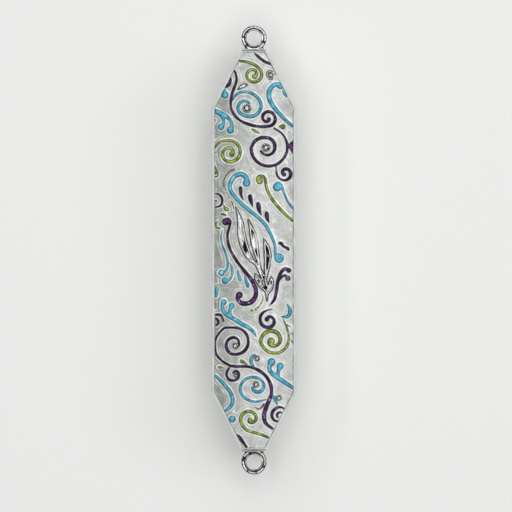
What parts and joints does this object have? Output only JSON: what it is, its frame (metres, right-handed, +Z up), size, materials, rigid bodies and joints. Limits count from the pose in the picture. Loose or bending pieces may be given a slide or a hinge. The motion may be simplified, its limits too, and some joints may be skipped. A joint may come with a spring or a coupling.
{
  "type": "mezuzah case",
  "caption": "Slim eight-sided doorpost scroll case with enamel scrollwork, an eyelet at each end and a sliding back cover over the scroll space.",
  "frame": {"origin": "centre of the overall box, on the case's middle line", "axes": "+Z up along the case towards the top eyelet, the decorated front faces -Y, the doorpost is at +Y, +X is the viewer's right"},
  "size_m": [0.0242, 0.0114, 0.1278],
  "materials": {
    "case_metal": "satin cast white metal with soft edges",
    "pearl_enamel": "mottled pearl grey enamel under clear resin",
    "polished_metal": "polished cast white metal",
    "cover_metal": "brushed sheet metal",
    "parchment": "matt cream parchment",
    "clear_film": "clear film",
    "thread": "twisted dark red thread",
    "purple_enamel": "dark purple glossy enamel",
    "turquoise_enamel": "turquoise glossy enamel",
    "green_enamel": "olive green glossy enamel",
    "bright_silver": "bright hammered silver",
    "crystal": "cut clear glass stone"
  },
  "bodies": {
    "case": {"case_shell": "case_metal", "enamel_ground": "pearl_enamel", "top_eyelet": "polished_metal", "bottom_eyelet": "polished_metal", "purple_top_vine": "purple_enamel", "purple_stone_spiral": "purple_enamel", "purple_side_curls": "purple_enamel", "purple_drops": "purple_enamel", "purple_long_scroll": "purple_enamel", "purple_sprig": "purple_enamel", "purple_hook": "purple_enamel", "purple_lower_vine": "purple_enamel", "purple_lower_curls": "purple_enamel", "turquoise_top_spiral": "turquoise_enamel", "turquoise_top_stems": "turquoise_enamel", "turquoise_side_sprig": "turquoise_enamel", "turquoise_long_scroll": "turquoise_enamel", "turquoise_fork": "turquoise_enamel", "turquoise_drops": "turquoise_enamel", "turquoise_branch": "turquoise_enamel", "turquoise_lower_fork": "turquoise_enamel", "turquoise_bottom_spiral": "turquoise_enamel", "turquoise_bottom_stems": "turquoise_enamel", "green_top_spiral": "green_enamel", "green_side_spiral": "green_enamel", "green_sprout": "green_enamel", "green_leaves": "green_enamel", "green_lower_spiral": "green_enamel", "green_bottom_spiral": "green_enamel", "green_beads": "green_enamel", "silver_leaf_sprig": "bright_silver", "silver_beads": "bright_silver", "silver_tendrils": "bright_silver", "stone_settings": "bright_silver", "crystals": "crystal"},
    "cover": {"back_cover": "cover_metal"},
    "scroll": {"parchment_scroll": "parchment", "scroll_film": "clear_film", "scroll_thread": "thread"}
  },
  "joints": [
    {"name": "cover_slide", "type": "slide", "parent": "case", "child": "cover", "axis": [0, 0, 1], "range_m": [0, 0.084]},
    {"name": "scroll_play", "type": "slide", "parent": "case", "child": "scroll", "axis": [0, 0, 1], "range_m": [0, 0.0035]}
  ]
}
